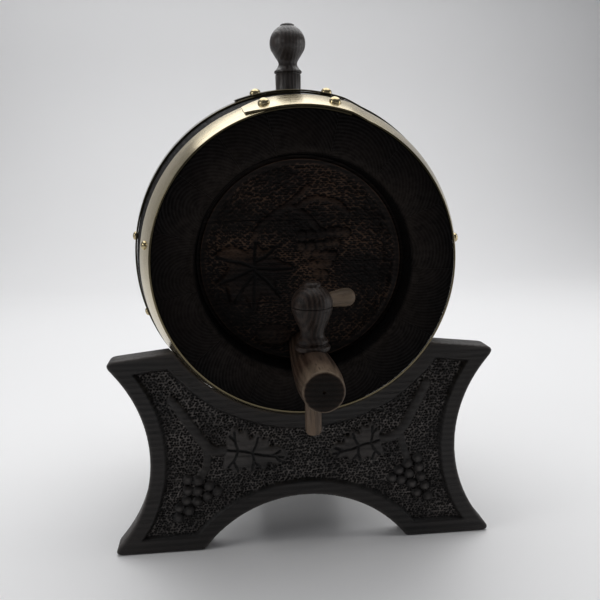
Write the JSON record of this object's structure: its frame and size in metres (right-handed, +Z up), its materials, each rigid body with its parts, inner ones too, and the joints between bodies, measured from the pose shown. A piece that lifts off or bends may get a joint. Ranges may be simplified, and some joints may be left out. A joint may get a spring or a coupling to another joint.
{
  "type": "oak wine barrel",
  "caption": "Small oak cask lying on a carved two-plate stand, bound with riveted brass hoops, with a turned bung on top and a turned wooden tap with a lever key in its front head.",
  "frame": {"origin": "on the floor, under the middle of the whole object's bounding box", "axes": "+Z up; +X to the right seen from the front; +Y from the tap towards the back, along the cask's axis"},
  "size_m": [0.2618, 0.2704, 0.3616],
  "materials": {
    "stave_oak": "dark stained oak, waxed",
    "head_oak": "dark stained carved oak, waxed",
    "stand_oak": "dark stained carved oak, waxed",
    "turned_oak": "brown stained turned oak",
    "tap_oak": "light brown stained turned oak",
    "brass": "polished",
    "steel": "plain wood screws"
  },
  "bodies": {
    "stand": {"front_cradle": "stand_oak", "rear_cradle": "stand_oak", "rail_left": "stand_oak", "rail_right": "stand_oak", "rear_screw_left": "steel", "rear_screw_right": "steel"},
    "cask": {"stave_01": "stave_oak", "stave_02": "stave_oak", "stave_03": "stave_oak", "stave_04": "stave_oak", "stave_05": "stave_oak", "stave_06": "stave_oak", "stave_07": "stave_oak", "stave_08": "stave_oak", "stave_09": "stave_oak", "stave_10": "stave_oak", "stave_11": "stave_oak", "stave_12": "stave_oak", "stave_13": "stave_oak", "stave_14": "stave_oak", "front_head_lower": "head_oak", "front_head_middle": "head_oak", "front_head_upper": "head_oak", "rear_head_lower": "head_oak", "rear_head_middle": "head_oak", "rear_head_upper": "head_oak", "front_chime_hoop": "brass", "front_bilge_hoop": "brass", "rear_chime_hoop": "brass", "rear_bilge_hoop": "brass", "front_chime_rivet_left": "brass", "front_chime_rivet_right": "brass", "front_bilge_rivet_left": "brass", "front_bilge_rivet_right": "brass", "rear_chime_rivet_left": "brass", "rear_chime_rivet_right": "brass", "rear_bilge_rivet_left": "brass", "rear_bilge_rivet_right": "brass", "front_chime_nail_1": "brass", "front_chime_nail_2": "brass", "rear_chime_nail_1": "brass", "rear_chime_nail_2": "brass", "front_bilge_nail_1": "brass", "front_bilge_nail_2": "brass", "front_bilge_nail_3": "brass", "rear_bilge_nail_1": "brass", "rear_bilge_nail_2": "brass", "rear_bilge_nail_3": "brass"},
    "bung": {"bung": "turned_oak"},
    "tap": {"tap_body": "tap_oak"},
    "key": {"tap_key": "turned_oak", "tap_lever": "tap_oak"}
  },
  "joints": [
    {"name": "barrel_lift", "type": "slide", "parent": "stand", "child": "cask", "axis": [0, 0, 1], "range_m": [0, 0.12]},
    {"name": "bung_pull", "type": "slide", "parent": "cask", "child": "bung", "axis": [0, 0, 1], "range_m": [0, 0.05]},
    {"name": "tap_pull", "type": "slide", "parent": "cask", "child": "tap", "axis": [0, -1, 0], "range_m": [0, 0.06]},
    {"name": "key_turn", "type": "hinge", "parent": "tap", "child": "key", "pos_m": [0, -0.086, 0.14], "axis": [0, 0, 1], "continuous": true}
  ]
}
